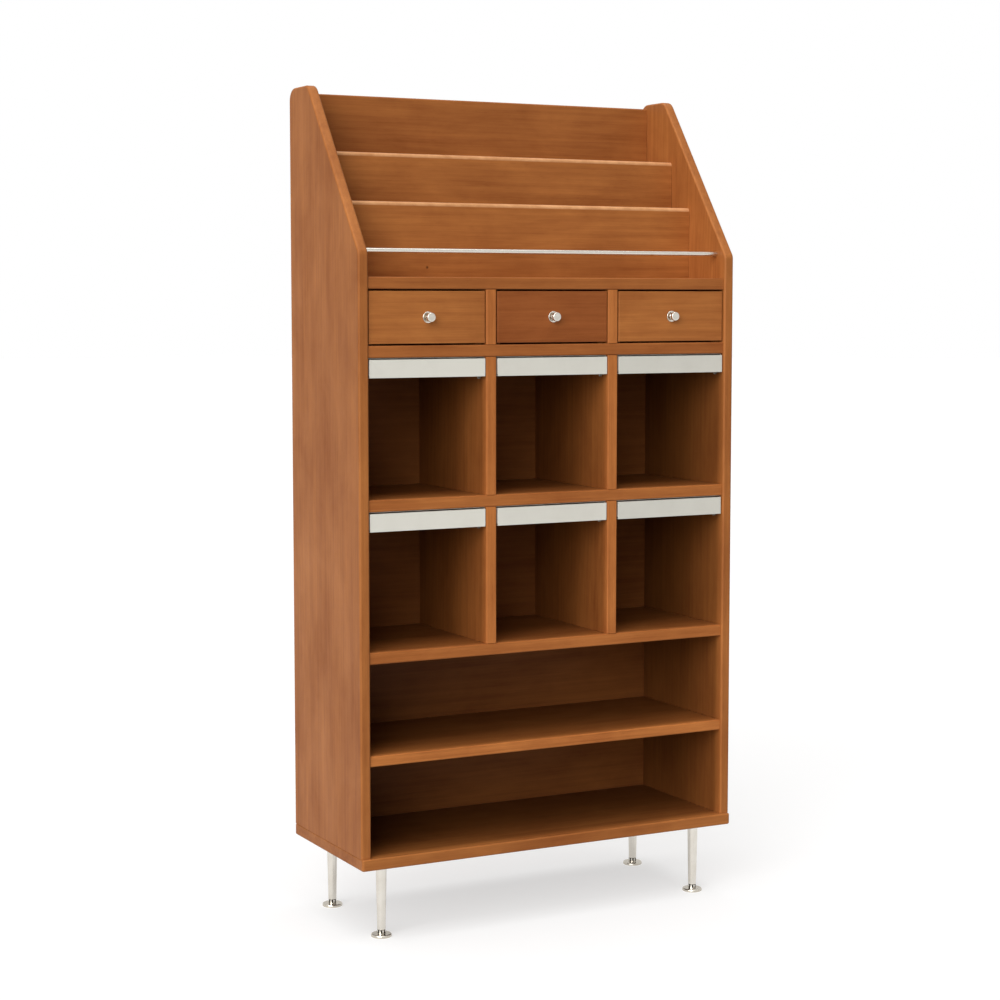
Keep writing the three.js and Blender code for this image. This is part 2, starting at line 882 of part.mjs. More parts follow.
// A levelling foot: a disc, a slotted neck to grip while turning it and a threaded stem.
function foot() {
  const disc = turnedZ([
    [0, 0],
    [footRadius - footLowerEdge, 0],
    [footRadius, footLowerEdge],
    [footRadius, footThickness - footUpperEdge],
    [footRadius - footShoulder, footThickness - footShoulder],
    [footRadius - footUpperEdge, footThickness],
    [0, footThickness],
  ]);
  const neckTop = footThickness + footNeckHeight;
  const neck = cylinderZ(footNeckRadius, footThickness - overrun, neckTop);
  const stem = cylinderZ(legStudRadius, neckTop - overrun, neckTop + footStemLength);
  const slots = Array.from({ length: footSlotCount }, (_, index) => {
    const slot = block(
      -footSlotWidth / 2,
      footSlotWidth / 2,
      footNeckRadius - footSlotDepth,
      footNeckRadius + overrun,
      footThickness + footSlotFloor,
      neckTop + overrun,
    );
    return slot.rotateZ((2 * Math.PI * (index + 0.5)) / footSlotCount);
  });
  return carved([disc, neck, stem], slots);
}

for (const { name, x, y } of legCentres) {
  place(cabinet, `leg_${name}`, leg(), nickel(), x, y);
  place(cabinet, `foot_${name}`, foot(), nickel(), x, y);
}

export default cabinet;
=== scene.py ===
"""A display and pigeonhole cabinet in stained wood, with satin metal trays, knobs, rail and legs.

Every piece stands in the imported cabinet's own frame, in metres: +Z is up and the front faces -Y.
"""

import math

import bmesh
import bpy
from mathutils import Matrix, Vector


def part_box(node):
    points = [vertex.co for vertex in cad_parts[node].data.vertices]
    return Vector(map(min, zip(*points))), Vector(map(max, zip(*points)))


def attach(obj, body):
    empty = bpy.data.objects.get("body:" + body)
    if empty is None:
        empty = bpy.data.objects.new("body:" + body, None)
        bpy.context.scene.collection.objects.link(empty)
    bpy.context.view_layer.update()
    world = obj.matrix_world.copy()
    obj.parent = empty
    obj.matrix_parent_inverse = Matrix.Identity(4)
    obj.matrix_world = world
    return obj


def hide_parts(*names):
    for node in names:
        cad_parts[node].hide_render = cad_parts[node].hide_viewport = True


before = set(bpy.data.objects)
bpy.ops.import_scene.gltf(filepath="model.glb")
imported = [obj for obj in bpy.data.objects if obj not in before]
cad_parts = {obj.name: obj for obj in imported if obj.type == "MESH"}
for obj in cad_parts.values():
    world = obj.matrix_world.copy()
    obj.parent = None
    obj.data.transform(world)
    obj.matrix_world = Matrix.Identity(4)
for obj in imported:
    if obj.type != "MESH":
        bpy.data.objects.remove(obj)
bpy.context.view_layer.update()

bl_info = {
    "name": "Display and pigeonhole cabinet",
    "version": (1, 0, 0),
    "blender": (4, 5, 0),
    "location": "3D View > Sidebar > Cabinet",
    "description": "Builds a stained wooden display cabinet with drawers, trays and metal legs",
    "category": "Add Mesh",
}

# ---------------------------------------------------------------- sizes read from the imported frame

PANEL_GAP = 0.0003
LEFT_INNER_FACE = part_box("side_panel_left")[1].x
RIGHT_INNER_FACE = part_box("side_panel_right")[0].x
BAYS = ("left", "centre", "right")
CORNERS = ("front_left", "front_right", "rear_left", "rear_right")
SHELVES = ("lower_shelf", "cubby_floor", "cubby_mid_shelf", "drawer_deck", "display_deck")
DIVIDER_ROWS = {
    "lower_cubby_divider": ("cubby_floor", "cubby_mid_shelf"),
    "upper_cubby_divider": ("cubby_mid_shelf", "drawer_deck"),
    "drawer_divider": ("drawer_deck", "display_deck"),
}

# The trays' sheets grow a little darker from the left bay to the right.
TRAY_BRIGHTNESS = {"left": 1.0, "centre": 0.95, "right": 0.87}

# Turns that lay a swept board's length, rounded edge and thickness along the cabinet's axes.
SHELF_TURN = Matrix(((0, 0, 1), (1, 0, 0), (0, 1, 0)))
DIVIDER_TURN = Matrix(((0, -1, 0), (1, 0, 0), (0, 0, 1)))
UPRIGHT_TURN = Matrix(((0, 0, 1), (0, 1, 0), (-1, 0, 0)))

# Turns that bring a board's grain onto the X axis of the wood pattern.
GRAIN_ALONG = {
    "x": (0.0, 0.0, 0.0),
    "y": (0.0, 0.0, -math.pi / 2),
    "z": (0.0, math.pi / 2, 0.0),
}


# ---------------------------------------------------------------- settings

def colour_choice(name, description, default):
    return bpy.props.FloatVectorProperty(
        name=name, description=description, default=default,
        subtype="COLOR", size=3, min=0.0, max=1.0,
    )


def length_choice(name, description, default, least, most):
    return bpy.props.FloatProperty(
        name=name, description=description, default=default,
        min=least, max=most, unit="LENGTH",
    )


def strength_choice(name, description, default):
    return bpy.props.FloatProperty(
        name=name, description=description, default=default, min=0.0, max=10.0,
    )


class WoodSettings(bpy.types.PropertyGroup):
    """Stain colours and edge sizes of the boards."""

    light_stain: colour_choice(
        "Light stain", "Colour of the open, pale grain", (0.47, 0.168, 0.043)
    )
    dark_stain: colour_choice(
        "Dark stain", "Colour where the stain has soaked in", (0.27, 0.080, 0.019)
    )
    # Painted highlight together with wear: this paler edge colour stands for light catching the
    # rounded edges as well as stain rubbed thin.
    edge_highlight_and_rubbed_stain: colour_choice(
        "Rubbed stain", "Colour of the edges, where the stain was rubbed thin",
        (0.60, 0.23, 0.070),
    )
    # Painted highlight together with wear: this paler colour on the tiers' top edges stands for the
    # top light they catch, as well as rubbing.
    lit_and_worn_stain: colour_choice(
        "Lit and worn stain", "Colour of the tops of the display tiers, where hands and magazines rub",
        (0.72, 0.36, 0.165),
    )
    board_edge: length_choice(
        "Board edge", "Radius of the front edges of shelves and dividers", 0.0025, 0.0005, 0.005
    )
    tier_edge: length_choice(
        "Tier edge", "Radius of the top edges of the display tiers", 0.0058, 0.001, 0.006
    )
    back_edge: length_choice(
        "Back edge", "Radius of the top edges of the back panel", 0.004, 0.001, 0.005
    )


class MetalSettings(bpy.types.PropertyGroup):
    """Colours and sizes of the metal pieces."""

    nickel: colour_choice(
        "Nickel", "Colour of the knobs, rail, legs and feet", (0.60, 0.555, 0.480)
    )
    sheet: colour_choice(
        "Sheet", "Colour of the trays and their carriers", (0.74, 0.72, 0.645)
    )
    sheet_edge: length_choice(
        "Sheet edge", "Radius of the folded and cut edges of the sheet", 0.0004, 0.0001, 0.0006
    )
    thread_pitch: length_choice(
        "Thread pitch", "Distance between the thread crests of the levelling feet",
        0.00125, 0.0005, 0.003,
    )


class StageSettings(bpy.types.PropertyGroup):
    """The floor and the light."""

    floor_colour: colour_choice("Floor", "Colour of the pale floor", (0.46, 0.46, 0.46))
    key_strength: strength_choice(
        "Key light", "Strength of the soft light from the front left", 2.70
    )
    top_strength: strength_choice("Top light", "Strength of the soft light from above", 2.0)
    sky_strength: strength_choice(
        "Room light", "Strength of the light from the white room", 0.06
    )
    gleam_strength: strength_choice(
        "Room gleam", "Strength of the white room as it is mirrored in glossy pieces", 0.80
    )


def wood_settings():
    return bpy.context.scene.cabinet_wood


def metal_settings():
    return bpy.context.scene.cabinet_metal


def stage_settings():
    return bpy.context.scene.cabinet_stage


# ---------------------------------------------------------------- node helpers

def new_node(tree, kind, **settings):
    node = tree.nodes.new(kind)
    for name, value in settings.items():
        setattr(node, name, value)
    return node


def feed(tree, socket, value):
    """Links a socket to another node's output, or sets it to a plain value."""
    if isinstance(value, bpy.types.NodeSocket):
        tree.links.new(value, socket)
    else:
        socket.default_value = value


def feed_all(tree, node, values):
    """Feeds several inputs of a node, given by name or number."""
    for key, value in values.items():
        feed(tree, node.inputs[key], value)
    return node


def wired(tree, kind, values, **settings):
    """The outputs of a new node whose inputs are linked or set."""
    return feed_all(tree, new_node(tree, kind, **settings), values).outputs


def calculate(tree, operation, first, second=0.0, clamp=False):
    values = {0: first, 1: second}
    return wired(tree, "ShaderNodeMath", values, operation=operation, use_clamp=clamp)[0]


def vector_math(tree, operation, first, second=(0.0, 0.0, 0.0)):
    return wired(tree, "ShaderNodeVectorMath", {0: first, 1: second}, operation=operation)


def stretch(tree, position, factors):
    return vector_math(tree, "MULTIPLY", position, factors)[0]


def span(tree, vector):
    return vector_math(tree, "LENGTH", vector)["Value"]


def separate(tree, vector):
    return wired(tree, "ShaderNodeSeparateXYZ", {0: vector})


def swing(tree, pattern, middle, depth):
    """A pattern's distance from its middle value, times a depth."""
    return calculate(tree, "MULTIPLY", calculate(tree, "SUBTRACT", pattern, middle), depth)


def with_share(tree, total, part, share, clamp=False):
    """A value with a share of another added to it."""
    return calculate(tree, "ADD", total, calculate(tree, "MULTIPLY", part, share), clamp)


def noise(tree, position, detail=2.0, roughness=0.5, distortion=0.0):
    values = {
        "Vector": position, "Scale": 1.0, "Detail": detail, "Roughness": roughness,
        "Distortion": distortion,
    }
    return wired(tree, "ShaderNodeTexNoise", values)[0]


def blend_colours(tree, amount, first, second, mode="MIX"):
    values = {0: amount, 6: first, 7: second}
    return wired(tree, "ShaderNodeMix", values, data_type="RGBA", blend_type=mode)[2]


def spread(tree, value, low, high, to_low=0.0, to_high=1.0):
    values = {
        "Value": value, "From Min": low, "From Max": high, "To Min": to_low, "To Max": to_high,
    }
    return wired(tree, "ShaderNodeMapRange", values)[0]


def new_group(name, inputs, outputs, kind="ShaderNodeTree"):
    """A node group with named sockets. Each input is (name, kind of socket, default)."""
    tree = bpy.data.node_groups.new(name, kind)
    for label, socket, default in inputs:
        made = tree.interface.new_socket(
            label, in_out="INPUT", socket_type=f"NodeSocket{socket}"
        )
        if default is not None:
            made.default_value = default
    for label, socket in outputs:
        tree.interface.new_socket(label, in_out="OUTPUT", socket_type=f"NodeSocket{socket}")
    start = new_node(tree, "NodeGroupInput")
    end = new_node(tree, "NodeGroupOutput")
    return tree, start.outputs, end.inputs


# ---------------------------------------------------------------- shared effects

def stained_grain_group():
    """Growth rings, streaks, blotches, fibres and pores of a stained board. Grain runs along X."""
    tree, given, result = new_group(
        "Stained wood grain",
        [
            ("Grain position", "Vector", None),
            ("Light stain", "Color", (0.47, 0.16, 0.04, 1.0)),
            ("Dark stain", "Color", (0.27, 0.08, 0.02, 1.0)),
            ("Ring spacing", "Float", 0.012),
            ("Ring depth", "Float", 0.10),
            ("Streak depth", "Float", 1.0),
            ("Band depth", "Float", 0.30),
            ("Blotch depth", "Float", 1.45),
            ("Fibre depth", "Float", 0.60),
        ],
        [("Colour", "Color"), ("Roughness", "Float"), ("Height", "Float")],
    )
    place = given["Grain position"]
    # Repeats along and across the grain in a metre, detail, roughness and distortion.
    sway, streaks, broad, blotches, fibres, pores = (
        noise(tree, stretch(tree, place, (along, across, across)), *texture)
        for along, across, *texture in (
            (1.1, 5.0, 2.0, 0.45, 0.0),
            (1.9, 120.0, 4.0, 0.62, 0.0),
            (0.8, 22.0, 2.0, 0.5, 0.0),
            (5.5, 12.0, 4.0, 0.6, 0.3),
            (16.0, 480.0, 3.0, 0.6, 0.0),
            (60.0, 1500.0, 1.0, 0.5, 0.0),
        )
    )
    pores = spread(tree, pores, 0.62, 0.74)

    pith_slope, pith_offset = (0.06, 1.0, 1.0), (0.0, 0.23, 0.11)
    from_pith = vector_math(tree, "ADD", stretch(tree, place, pith_slope), pith_offset)[0]
    turns = calculate(tree, "DIVIDE", span(tree, from_pith), given["Ring spacing"])
    swayed_rings, sharpness = 9.0, 1.7
    turns = with_share(tree, turns, sway, swayed_rings)
    wave = calculate(tree, "SINE", calculate(tree, "MULTIPLY", turns, 2.0 * math.pi))
    rings = calculate(tree, "POWER", spread(tree, wave, -1.0, 1.0), sharpness)

    even_shade, pore_shade = 0.44, 0.25
    shade = swing(tree, rings, 0.4, given["Ring depth"])
    for pattern, depth in (
        (streaks, "Streak depth"),
        (broad, "Band depth"),
        (blotches, "Blotch depth"),
        (fibres, "Fibre depth"),
    ):
        shade = calculate(tree, "ADD", shade, swing(tree, pattern, 0.5, given[depth]))
    shade = calculate(tree, "ADD", shade, even_shade)
    shade = with_share(tree, shade, pores, pore_shade, clamp=True)
    colour = blend_colours(tree, shade, given["Light stain"], given["Dark stain"])
    feed(tree, result["Colour"], colour)

    roughness, blotch_roughness, pore_roughness = 0.47, 0.22, 0.12
    rough = calculate(tree, "ADD", swing(tree, blotches, 0.5, blotch_roughness), roughness)
    feed(tree, result["Roughness"], with_share(tree, rough, pores, pore_roughness))
    height = calculate(tree, "SUBTRACT", calculate(tree, "MULTIPLY", fibres, 0.6), pores)
    feed(tree, result["Height"], with_share(tree, height, rings, 0.25))
    return tree


def painted_inside_shade_group():
    """Painted shade: darkens the colour deeper inside the cabinet, standing for the shade that falls
    deep in the bays.
    """
    tree, given, result = new_group(
        "Painted inside shade",
        [
            ("Colour", "Color", (0.5, 0.5, 0.5, 1.0)),
            ("Position", "Vector", None),
            ("Front", "Float", -0.15),
            ("Top", "Float", 1.2),
            ("Half width", "Float", 0.38),
            ("Back", "Float", 0.14),
            ("Deepest", "Float", 0.9),
        ],
        [("Colour", "Color")],
    )
    apart = separate(tree, given["Position"])
    depth = calculate(tree, "SUBTRACT", apart["Y"], given["Front"])
    edge_end, near_end, deep_end, near_share = 0.002, 0.02, 0.14, 0.65
    near = spread(tree, depth, edge_end, near_end, 0.0, near_share)
    deep = spread(tree, depth, near_end, deep_end, 0.0, 1.0 - near_share)
    mask = calculate(tree, "ADD", near, deep)
    across = calculate(tree, "ABSOLUTE", apart["X"])
    limits = ((apart["Z"], "Top"), (across, "Half width"), (apart["Y"], "Back"))
    for value, limit in limits:
        within = calculate(tree, "LESS_THAN", value, given[limit])
        mask = calculate(tree, "MULTIPLY", mask, within)
    mask = calculate(tree, "MULTIPLY", mask, given["Deepest"])
    darker = blend_colours(tree, 1.0, given["Colour"], (0.27, 0.25, 0.20, 1.0), "MULTIPLY")
    feed(tree, result["Colour"], blend_colours(tree, mask, given["Colour"], darker))
    return tree


def edge_wear_and_highlight_group():
    """Pales the colour where an edge is marked: stain or plating rubbed thin, and on the wooden
    boards also a painted highlight where light catches the edges.
    """
    tree, given, result = new_group(
        "Edge wear and highlight",
        [
            ("Colour", "Color", (0.5, 0.5, 0.5, 1.0)),
            ("Rubbed colour", "Color", (0.7, 0.7, 0.7, 1.0)),
            ("Edge", "Float", 0.0),
            ("Amount", "Float", 0.6),
            ("Roughness", "Float", 0.4),
            ("Position", "Vector", None),
        ],
        [("Colour", "Color"), ("Roughness", "Float")],
    )
    patches = noise(tree, stretch(tree, given["Position"], (34.0, 34.0, 34.0)), 3.0, 0.6)
    patches = spread(tree, patches, 0.25, 0.65, 0.45, 1.0)
    mask = calculate(tree, "MULTIPLY", given["Edge"], patches)
    mask = calculate(tree, "MULTIPLY", mask, given["Amount"], clamp=True)
    colour = blend_colours(tree, mask, given["Colour"], given["Rubbed colour"])
    feed(tree, result["Colour"], colour)
    feed(tree, result["Roughness"], with_share(tree, given["Roughness"], mask, -0.10))
    return tree


def satin_metal_group():
    """Fine brushing and faint clouding. The brushing runs where the stretch is least."""
    tree, given, result = new_group(
        "Satin metal",
        [
            ("Position", "Vector", None),
            ("Brushing", "Vector", (8.0, 900.0, 900.0)),
            ("Metal", "Color", (0.7, 0.68, 0.6, 1.0)),
            ("Cloud depth", "Float", 0.12),
            ("Base roughness", "Float", 0.28),
        ],
        [("Colour", "Color"), ("Roughness", "Float"), ("Height", "Float")],
    )
    lines = noise(tree, stretch(tree, given["Position"], given["Brushing"]), 3.0, 0.6)
    clouds = noise(tree, stretch(tree, given["Position"], (22.0, 22.0, 22.0)), 3.0, 0.55)
    dull = swing(tree, clouds, 0.5, given["Cloud depth"])
    dull = with_share(tree, dull, lines, 0.06, clamp=True)
    darker = blend_colours(tree, 1.0, given["Metal"], (0.72, 0.70, 0.68, 1.0), "MULTIPLY")
    feed(tree, result["Colour"], blend_colours(tree, dull, given["Metal"], darker))
    rough = calculate(tree, "ADD", swing(tree, lines, 0.5, 0.16), given["Base roughness"])
    feed(tree, result["Roughness"], with_share(tree, rough, dull, 0.3))
    feed(tree, result["Height"], lines)
    return tree


def place_group(tree, name, build, **values):
    """Puts a shared group into a material. A value's name is its socket's, with underscores."""
    group = bpy.data.node_groups.get(name) or build()
    inputs = {label.replace("_", " "): value for label, value in values.items()}
    return wired(tree, "ShaderNodeGroup", inputs, node_tree=group)


# ---------------------------------------------------------------- materials

def bare_material(name):
    material = bpy.data.materials.new(name.replace("_", " "))
    material.use_nodes = True
    tree = material.node_tree
    shader = tree.nodes["Principled BSDF"]
    position = new_node(tree, "ShaderNodeTexCoord").outputs["Object"]
    edge = new_node(tree, "ShaderNodeAttribute", attribute_name="edge").outputs["Fac"]
    return material, tree, shader, position, edge


def set_bump(tree, shader, height, strength, distance):
    values = {"Strength": strength, "Distance": distance, "Height": height}
    feed(tree, shader.inputs["Normal"], wired(tree, "ShaderNodeBump", values)["Normal"])


def toned(colour, tone):
    """A stain colour changed by a board's own tone, which is (brightness, redness)."""
    brightness, redness = tone
    return (
        min(1.0, colour[0] * brightness),
        colour[1] * brightness / redness,
        colour[2] * brightness / redness,
        1.0,
    )


def stained_wood(
    board, along, shift, tone=(1.0, 1.0), ring_spacing=0.013, knots=(), lacquer=0.02,
    joint=None, lit_and_worn_top=None, edge_lightening=0.32, inside_shade_depth=0.9,
):
    """The stained and lacquered wood of one board. Its grain runs along x, y or z.

    shift moves the board to its own part of the log. Each knot is (place, size) in metres.
    joint is the height of a seam under the board, where the stain gathers. The top height given
    for the tiers is where a top edge starts to take a paler colour: a painted highlight where
    the top light falls, together with stain rubbed thin.
    """
    settings = wood_settings()
    material, tree, shader, position, edge = bare_material(f"Stained wood, {board}")
    grain = {"Vector": position, "Rotation": GRAIN_ALONG[along], "Location": shift}
    wood = place_group(
        tree, "Stained wood grain", stained_grain_group,
        Grain_position=wired(tree, "ShaderNodeMapping", grain)[0],
        Light_stain=toned(settings.light_stain, tone),
        Dark_stain=toned(settings.dark_stain, tone),
        Ring_spacing=ring_spacing,
    )
    colour = wood["Colour"]
    knot_tone, seam_tone = (0.25, 1.1), (0.22, 1.1)
    for place, size in knots:
        away = vector_math(tree, "DISTANCE", position, place)["Value"]
        mask = spread(tree, away, size, size * 0.35)
        core = toned(settings.dark_stain, knot_tone)
        colour = blend_colours(tree, calculate(tree, "MULTIPLY", mask, 0.8), colour, core)
    height = separate(tree, position)["Z"]
    if joint is not None:
        mask = spread(tree, height, joint + 0.0032, joint + 0.0018, 0.0, 0.9)
        colour = blend_colours(tree, mask, colour, toned(settings.dark_stain, seam_tone))
    edge_stain = settings.edge_highlight_and_rubbed_stain
    # Painted highlight together with wear: above the given height a top edge takes the paler colour.
    if lit_and_worn_top is not None:
        lit_and_worn = spread(tree, height, lit_and_worn_top - 0.0012, lit_and_worn_top + 0.0008)
        edge = calculate(tree, "MAXIMUM", edge, lit_and_worn)
        edge_lightening = 1.0
        edge_stain = settings.lit_and_worn_stain
    # Paler edges: stain rubbed thin together with a painted highlight.
    edge_lightened = place_group(
        tree, "Edge wear and highlight", edge_wear_and_highlight_group,
        Colour=colour,
        Rubbed_colour=toned(edge_stain, tone),
        Edge=edge,
        Amount=edge_lightening,
        Roughness=wood["Roughness"],
        Position=position,
    )
    skin = 0.0004
    # Painted shade: the colour darkens with depth inside the cabinet.
    shaded_inside_colour = place_group(
        tree, "Painted inside shade", painted_inside_shade_group,
        Colour=edge_lightened["Colour"],
        Position=position,
        Front=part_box("display_deck")[0].y,
        Top=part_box("display_deck")[0].z + skin,
        Half_width=RIGHT_INNER_FACE + skin,
        Back=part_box("back_panel")[0].y + 0.0006,
        Deepest=inside_shade_depth,
    )
    feed_all(tree, shader, {
        "Base Color": shaded_inside_colour["Colour"],
        "Roughness": edge_lightened["Roughness"],
        "Coat Weight": lacquer,
        "Coat Roughness": 0.32,
        "Specular IOR Level": 0.12,
    })
    set_bump(tree, shader, wood["Height"], strength=0.22, distance=0.0004)
    return material


def satin_metal(
    name, colour, brushing, roughness, cloud_depth, worn_colour, wear, metallic, relief,
    slots=None,
):
    """Brushed metal with rubbed edges. slots is the (centre, depth radius) of an upright
    slotted neck, whose slots get painted shade."""
    material, tree, shader, position, edge = bare_material(name)
    metal = place_group(
        tree, "Satin metal", satin_metal_group,
        Position=position,
        Brushing=brushing,
        Metal=(*colour, 1.0),
        Cloud_depth=cloud_depth,
        Base_roughness=roughness,
    )
    shade = metal["Colour"]
    if slots is not None:
        centre, radius = slots
        offset = vector_math(tree, "SUBTRACT", position, centre)[0]
        reach = span(tree, stretch(tree, offset, (1.0, 1.0, 0.0)))
        # Painted shade: the slots of the neck are coloured near black, standing for the shade inside
        # them.
        fade, slot_shade_colour = 0.0003, (0.02, 0.018, 0.015, 1.0)
        slot_shade = spread(tree, reach, radius, radius - fade)
        shade = blend_colours(tree, slot_shade, shade, slot_shade_colour)
    edge_lightened = place_group(
        tree, "Edge wear and highlight", edge_wear_and_highlight_group,
        Colour=shade,
        Rubbed_colour=worn_colour,
        Edge=edge,
        Amount=wear,
        Roughness=metal["Roughness"],
        Position=position,
    )
    feed_all(tree, shader, {
        "Base Color": edge_lightened["Colour"],
        "Roughness": edge_lightened["Roughness"],
        "Metallic": metallic,
    })
    set_bump(tree, shader, metal["Height"], strength=relief, distance=0.0002)
    return material


def satin_nickel(piece, brushing, roughness, slots=None):
    return satin_metal(
        f"Satin nickel, {piece}", metal_settings().nickel, brushing, roughness,
        cloud_depth=0.35, worn_colour=(0.86, 0.84, 0.79, 1.0), wear=0.5,
        metallic=1.0, relief=0.05, slots=slots,
    )


def satin_sheet(piece, brightness):
    colour = tuple(channel * brightness for channel in metal_settings().sheet)
    return satin_metal(
        f"Satin sheet, {piece}", colour, (5.0, 700.0, 700.0), 0.40,
        cloud_depth=0.5, worn_colour=(0.90, 0.89, 0.84, 1.0), wear=0.7,
        metallic=0.40, relief=0.04,
    )


# ---------------------------------------------------------------- piece helpers

def linked(name, data):
    piece = bpy.data.objects.new(name, data)
    bpy.context.scene.collection.objects.link(piece)
    return piece


def made_plain(piece):
    """Bakes a piece's live modifiers into its mesh."""
    depsgraph = bpy.context.evaluated_depsgraph_get()
    shaped = piece.evaluated_get(depsgraph)
    mesh = bpy.data.meshes.new_from_object(shaped, depsgraph=depsgraph)
    piece.modifiers.clear()
    piece.data = mesh
    mesh.name = piece.name
    return piece


def mark_edges(mesh, narrow=0.004):
    """Writes the attribute edge: 1 where only a rounded edge's narrow facets meet, else 0."""
    wide = set()
    for face in mesh.polygons:
        points = [mesh.vertices[index].co for index in face.vertices]
        longest = max((points[i] - points[i - 1]).length for i in range(len(points)))
        if face.area / max(longest, 1e-9) > narrow:
            wide.update(face.vertices)
    attribute = mesh.attributes.get("edge") or mesh.attributes.new("edge", "FLOAT", "POINT")
    for index in range(len(mesh.vertices)):
        attribute.data[index].value = 0.0 if index in wide else 1.0


def smoothed(piece, narrow=0.004, bevel=0.0, steps=2, crease=40.0):
    """Rounds and marks the sharp edges, and shades smoothly with the flat faces kept flat."""
    mesh = piece.data
    if bevel > 0.0:
        rounding = piece.modifiers.new("Rounded edges", "BEVEL")
        rounding.width = bevel
        rounding.segments = steps
        rounding.limit_method = "ANGLE"
        rounding.angle_limit = math.radians(crease)
        rounding.miter_outer = "MITER_ARC"
        made_plain(piece)
        mesh = piece.data
    mark_edges(mesh, narrow)
    mesh.shade_smooth()
    mesh.set_sharp_from_angle(angle=math.radians(crease))
    weighting = piece.modifiers.new("Flat faces", "WEIGHTED_NORMAL")
    weighting.keep_sharp = True
    weighting.weight = 100
    return made_plain(piece)


def finished(piece, body, material, slot, *nodes):
    """Gives a piece its finish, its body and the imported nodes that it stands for, if any."""
    piece.data.materials.clear()
    piece.data.materials.append(material)
    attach(piece, body)
    if nodes:
        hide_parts(*nodes)
    return piece


def between_panels(node):
    """A packed board's corners, with its ends kept just clear of the side panels."""
    low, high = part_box(node)
    low.x = LEFT_INNER_FACE + PANEL_GAP
    high.x = RIGHT_INNER_FACE - PANEL_GAP
    return low, high


def refined_copy(node, name, bevel=0.0, narrow=0.004, steps=2):
    """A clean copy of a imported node: merged, its flat faces joined up and its edges rounded."""
    mesh = bpy.data.meshes.new(name)
    form = bmesh.new()
    form.from_mesh(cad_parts[node].data)
    bmesh.ops.remove_doubles(form, verts=form.verts, dist=2e-6)
    bmesh.ops.dissolve_limit(
        form, angle_limit=math.radians(0.6), verts=form.verts, edges=form.edges
    )
    bmesh.ops.recalc_face_normals(form, faces=form.faces)
    form.to_mesh(mesh)
    form.free()
    for attribute in [a for a in mesh.attributes if a.name.startswith("custom_normal")]:
        mesh.attributes.remove(attribute)
    return smoothed(linked(name, mesh), narrow, bevel, steps)


def turned(name, profile, centre, toward, segments=64, narrow=0.0012):
    """A lathe-turned piece from (radius, distance) points, standing at centre."""
    form = bmesh.new()
    turn = Vector(toward).to_track_quat("Z", "Y").to_matrix().to_4x4()
    stand = Matrix.Translation(centre) @ turn
    rows = []
    for radius, distance in profile:
        if radius < 1e-7:
            rows.append([form.verts.new(stand @ Vector((0.0, 0.0, distance)))])
            continue
        ring = []
        for step in range(segments):
            angle = 2.0 * math.pi * step / segments
            spot = Vector((radius * math.cos(angle), radius * math.sin(angle), distance))
            ring.append(form.verts.new(stand @ spot))
        rows.append(ring)
    for lower, upper in zip(rows, rows[1:]):
        for step in range(segments):
            following = (step + 1) % segments
            corners = [lower[step % len(lower)], lower[following % len(lower)]]
            corners += [upper[following % len(upper)], upper[step % len(upper)]]
            distinct = list(dict.fromkeys(corners))
            if len(distinct) > 2:
                form.faces.new(distinct)
    bmesh.ops.recalc_face_normals(form, faces=form.faces)
    mesh = bpy.data.meshes.new(name)
    form.to_mesh(mesh)
    form.free()
    return smoothed(linked(name, mesh), narrow, crease=50.0)


def rounded_corner(radius, distance, size, start, end, steps=5):
    """Profile points round a corner of a turned piece. Angles are in degrees from the axis side."""
    points = []
    for step in range(steps + 1):
        angle = math.radians(start + (end - start) * step / steps)
        points.append((radius + size * math.cos(angle), distance + size * math.sin(angle)))
    return points


def lower_edge(radius, distance, size, steps=5):
    """Profile points round the lower outer edge of a turned disc or rod."""
    return rounded_corner(radius - size, distance + size, size, -90.0, 0.0, steps)


def upper_edge(radius, distance, size, end=90.0, steps=5):
    """Profile points round the upper outer edge of a turned disc or rod."""
    return rounded_corner(radius - size, distance - size, size, 0.0, end, steps)


# ---------------------------------------------------------------- swept boards

def paint_and_end(tree, geometry, finish, end):
    """Makes instances real, paints them and hands them to the tree's output."""
    real = wired(tree, "GeometryNodeRealizeInstances", {0: geometry})
    paint = wired(tree, "GeometryNodeSetMaterial", {"Geometry": real[0], "Material": finish})
    feed(tree, end, paint[0])


